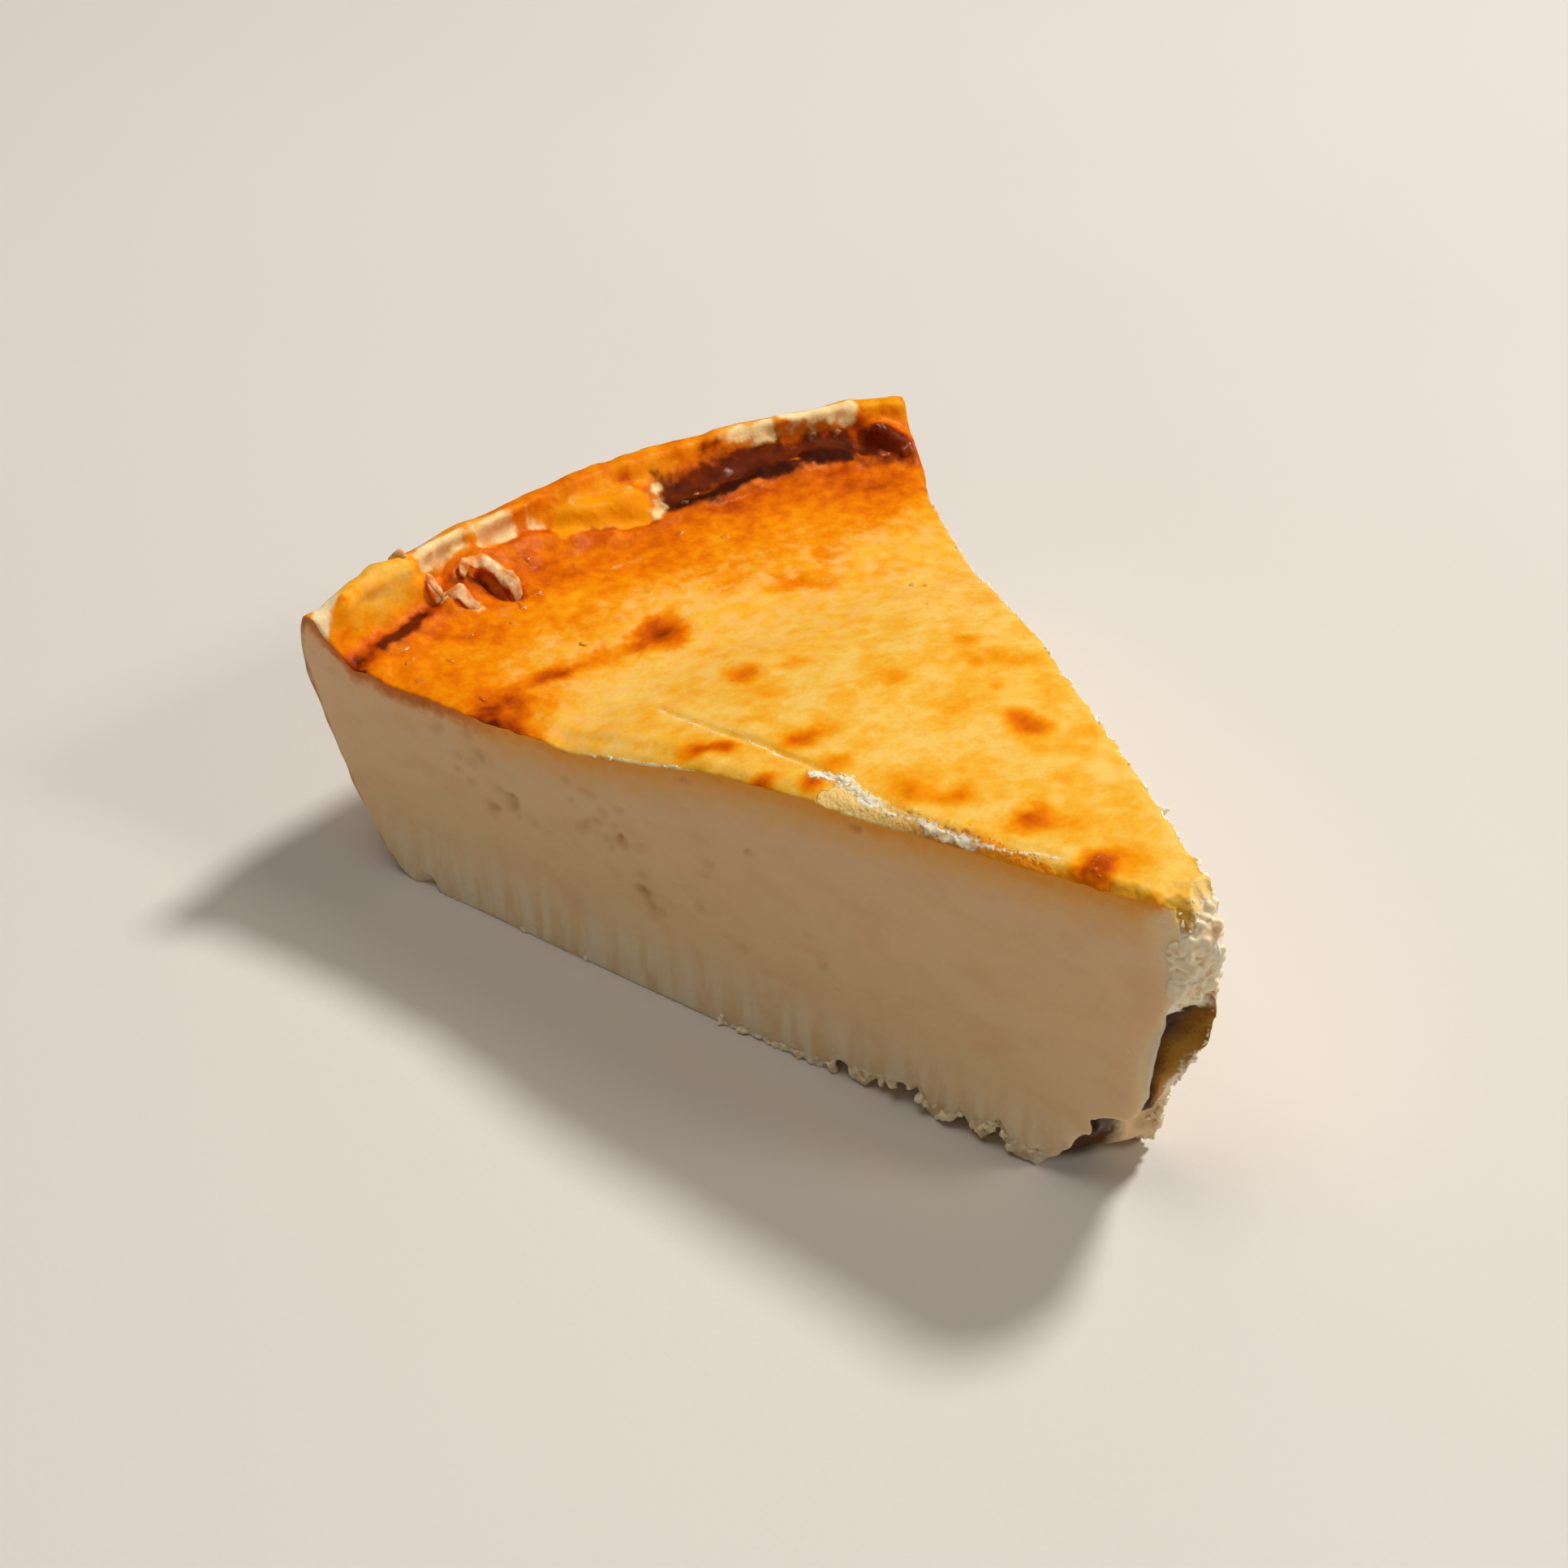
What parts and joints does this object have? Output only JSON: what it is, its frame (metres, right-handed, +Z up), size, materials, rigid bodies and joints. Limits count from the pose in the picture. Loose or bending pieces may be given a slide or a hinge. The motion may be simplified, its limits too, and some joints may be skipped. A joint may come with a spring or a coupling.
{
  "type": "cheesecake slice",
  "caption": "Wedge of plain baked cheesecake with a browned glossy skin, a raised rim, a bulging baked wall, smooth cut faces and a broken tip; it has no base.",
  "frame": {"origin": "under the middle of the slice's box, on the surface that it stands on", "axes": "+Z up, +Y from the broken tip towards the cake's outer wall, +X to the right seen from the tip"},
  "size_m": [0.085, 0.1126, 0.0426],
  "materials": {
    "baked_cheesecake": "soft set cream on the cut faces, glossy browned skin on top, dry baked wall outside"
  },
  "bodies": {
    "root": {"cheesecake_slice": "baked_cheesecake"}
  },
  "joints": []
}
